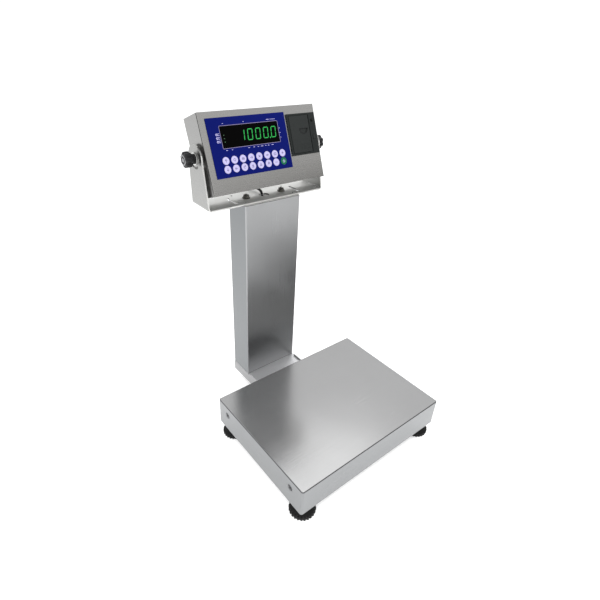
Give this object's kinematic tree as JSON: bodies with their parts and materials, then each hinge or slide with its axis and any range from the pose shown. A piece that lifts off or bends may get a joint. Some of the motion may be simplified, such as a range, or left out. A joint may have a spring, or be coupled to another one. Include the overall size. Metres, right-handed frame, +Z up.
{
  "type": "bench scale",
  "caption": "Stainless bench scale: load cell platform on levelling feet, rear column, and a tilting indicator with keypad, digital display and built-in label printer.",
  "frame": {"origin": "on the floor under the middle of the whole scale's box", "axes": "+Z up, -Y towards the operator, +X to the operator's right"},
  "size_m": [0.405, 0.4882, 0.6765],
  "materials": {
    "brushed_steel": "satin brushed stainless sheet",
    "aluminium": "machined, clear anodised",
    "dark_steel": "dark oxide fasteners",
    "bright_steel": "bright washer",
    "rubber": "matt black rubber",
    "cable_sheath": "black cable sheath",
    "black_plastic": "black moulded plastic",
    "charcoal_plastic": "charcoal moulded plastic",
    "blue_film": "deep blue printed film, satin",
    "dark_pane": "smoked display pane",
    "circuit_board": "green circuit board",
    "paper": "thermal paper",
    "key_film": "pale embossed film",
    "green_key_film": "green embossed film"
  },
  "bodies": {
    "base": {"base_frame": "brushed_steel", "column_bracket": "brushed_steel", "column": "brushed_steel", "column_top_plate": "brushed_steel", "column_bolt_left": "dark_steel", "column_bolt_right": "dark_steel", "indicator_bracket": "brushed_steel", "bracket_bolt_left": "dark_steel", "bracket_bolt_right": "dark_steel", "load_cell": "aluminium", "cell_spacer_lower": "aluminium", "cell_bolt_lower": "dark_steel", "load_cell_cable": "cable_sheath", "cable_loop": "cable_sheath"},
    "platform": {"platter": "brushed_steel", "platter_screw_left_front": "dark_steel", "platter_screw_left_back": "dark_steel", "platter_screw_right_front": "dark_steel", "platter_screw_right_back": "dark_steel", "upper_frame": "brushed_steel", "cell_spacer_upper": "aluminium", "cell_bolt_upper": "dark_steel"},
    "indicator": {"housing_rear": "brushed_steel", "front_panel": "brushed_steel", "housing_gasket": "rubber", "membrane_overlay": "blue_film", "display_window": "dark_pane", "display_module": "circuit_board", "main_board": "circuit_board", "printer_body": "black_plastic", "knob_washer_left": "bright_steel", "knob_washer_right": "bright_steel", "gland_load_cell": "black_plastic", "gland_power": "black_plastic"},
    "knob_left": {"knob_left": "black_plastic"},
    "knob_right": {"knob_right": "black_plastic"},
    "printer_door": {"printer_door": "charcoal_plastic"},
    "platen": {"platen_roller": "rubber"},
    "paper_roll": {"paper_roll": "paper"},
    "feed_button": {"feed_button": "charcoal_plastic"},
    "foot_front_left": {"foot_front_left": "rubber"},
    "foot_front_right": {"foot_front_right": "rubber"},
    "foot_back_left": {"foot_back_left": "rubber"},
    "foot_back_right": {"foot_back_right": "rubber"},
    "key_a1": {"key_a1": "key_film"},
    "key_a2": {"key_a2": "key_film"},
    "key_a3": {"key_a3": "key_film"},
    "key_a4": {"key_a4": "key_film"},
    "key_a5": {"key_a5": "key_film"},
    "key_a6": {"key_a6": "key_film"},
    "key_a7": {"key_a7": "key_film"},
    "key_a8": {"key_a8": "key_film"},
    "key_b1": {"key_b1": "key_film"},
    "key_b2": {"key_b2": "key_film"},
    "key_b3": {"key_b3": "key_film"},
    "key_b4": {"key_b4": "key_film"},
    "key_b5": {"key_b5": "key_film"},
    "key_b6": {"key_b6": "key_film"},
    "key_b7": {"key_b7": "key_film"},
    "key_b8": {"key_b8": "green_key_film"}
  },
  "joints": [
    {"name": "platform_load", "type": "slide", "parent": "base", "child": "platform", "axis": [0, 0, 1], "range_m": [-0.0004, 0], "stiffness_N_per_m": 1500000, "springref_m": 0.00003},
    {"name": "foot_front_left_height", "type": "slide", "parent": "base", "child": "foot_front_left", "axis": [0, 0, 1], "range_m": [-0.01, 0.006]},
    {"name": "foot_front_right_height", "type": "slide", "parent": "base", "child": "foot_front_right", "axis": [0, 0, 1], "range_m": [-0.01, 0.006]},
    {"name": "foot_back_left_height", "type": "slide", "parent": "base", "child": "foot_back_left", "axis": [0, 0, 1], "range_m": [-0.01, 0.006]},
    {"name": "foot_back_right_height", "type": "slide", "parent": "base", "child": "foot_back_right", "axis": [0, 0, 1], "range_m": [-0.01, 0.006]},
    {"name": "indicator_tilt", "type": "hinge", "parent": "base", "child": "indicator", "pos_m": [-0.006, 0.18389, 0.5936], "axis": [-1, 0, 0], "range_deg": [-30, 45], "deforming": ["cable_loop"]},
    {"name": "knob_left_turn", "type": "hinge", "parent": "indicator", "child": "knob_left", "pos_m": [-0.156, 0.18389, 0.5936], "axis": [-1, 0, 0], "continuous": true},
    {"name": "knob_right_turn", "type": "hinge", "parent": "indicator", "child": "knob_right", "pos_m": [0.144, 0.18389, 0.5936], "axis": [1, 0, 0], "continuous": true},
    {"name": "printer_door_open", "type": "hinge", "parent": "indicator", "child": "printer_door", "pos_m": [0.0593, 0.15692, 0.6223], "axis": [0, -0.3551, -0.9348], "range_deg": [0, 95]},
    {"name": "platen_spin", "type": "hinge", "parent": "printer_door", "child": "platen", "pos_m": [0.1033, 0.16524, 0.61887], "axis": [0, 0.3551, 0.9348], "continuous": true},
    {"name": "paper_roll_spin", "type": "hinge", "parent": "indicator", "child": "paper_roll", "pos_m": [0.0803, 0.18059, 0.61309], "axis": [0, 0.3551, 0.9348], "continuous": true},
    {"name": "feed_button_press", "type": "slide", "parent": "indicator", "child": "feed_button", "axis": [0, 0.9348, -0.3551], "range_m": [0, 0.0008], "stiffness_N_per_m": 1500},
    {"name": "key_a1_press", "type": "slide", "parent": "indicator", "child": "key_a1", "axis": [0, 0.9348, -0.3551], "range_m": [0, 0.0004], "stiffness_N_per_m": 5000},
    {"name": "key_a2_press", "type": "slide", "parent": "indicator", "child": "key_a2", "axis": [0, 0.9348, -0.3551], "range_m": [0, 0.0004], "stiffness_N_per_m": 5000},
    {"name": "key_a3_press", "type": "slide", "parent": "indicator", "child": "key_a3", "axis": [0, 0.9348, -0.3551], "range_m": [0, 0.0004], "stiffness_N_per_m": 5000},
    {"name": "key_a4_press", "type": "slide", "parent": "indicator", "child": "key_a4", "axis": [0, 0.9348, -0.3551], "range_m": [0, 0.0004], "stiffness_N_per_m": 5000},
    {"name": "key_a5_press", "type": "slide", "parent": "indicator", "child": "key_a5", "axis": [0, 0.9348, -0.3551], "range_m": [0, 0.0004], "stiffness_N_per_m": 5000},
    {"name": "key_a6_press", "type": "slide", "parent": "indicator", "child": "key_a6", "axis": [0, 0.9348, -0.3551], "range_m": [0, 0.0004], "stiffness_N_per_m": 5000},
    {"name": "key_a7_press", "type": "slide", "parent": "indicator", "child": "key_a7", "axis": [0, 0.9348, -0.3551], "range_m": [0, 0.0004], "stiffness_N_per_m": 5000},
    {"name": "key_a8_press", "type": "slide", "parent": "indicator", "child": "key_a8", "axis": [0, 0.9348, -0.3551], "range_m": [0, 0.0004], "stiffness_N_per_m": 5000},
    {"name": "key_b1_press", "type": "slide", "parent": "indicator", "child": "key_b1", "axis": [0, 0.9348, -0.3551], "range_m": [0, 0.0004], "stiffness_N_per_m": 5000},
    {"name": "key_b2_press", "type": "slide", "parent": "indicator", "child": "key_b2", "axis": [0, 0.9348, -0.3551], "range_m": [0, 0.0004], "stiffness_N_per_m": 5000},
    {"name": "key_b3_press", "type": "slide", "parent": "indicator", "child": "key_b3", "axis": [0, 0.9348, -0.3551], "range_m": [0, 0.0004], "stiffness_N_per_m": 5000},
    {"name": "key_b4_press", "type": "slide", "parent": "indicator", "child": "key_b4", "axis": [0, 0.9348, -0.3551], "range_m": [0, 0.0004], "stiffness_N_per_m": 5000},
    {"name": "key_b5_press", "type": "slide", "parent": "indicator", "child": "key_b5", "axis": [0, 0.9348, -0.3551], "range_m": [0, 0.0004], "stiffness_N_per_m": 5000},
    {"name": "key_b6_press", "type": "slide", "parent": "indicator", "child": "key_b6", "axis": [0, 0.9348, -0.3551], "range_m": [0, 0.0004], "stiffness_N_per_m": 5000},
    {"name": "key_b7_press", "type": "slide", "parent": "indicator", "child": "key_b7", "axis": [0, 0.9348, -0.3551], "range_m": [0, 0.0004], "stiffness_N_per_m": 5000},
    {"name": "key_b8_press", "type": "slide", "parent": "indicator", "child": "key_b8", "axis": [0, 0.9348, -0.3551], "range_m": [0, 0.0004], "stiffness_N_per_m": 5000}
  ]
}
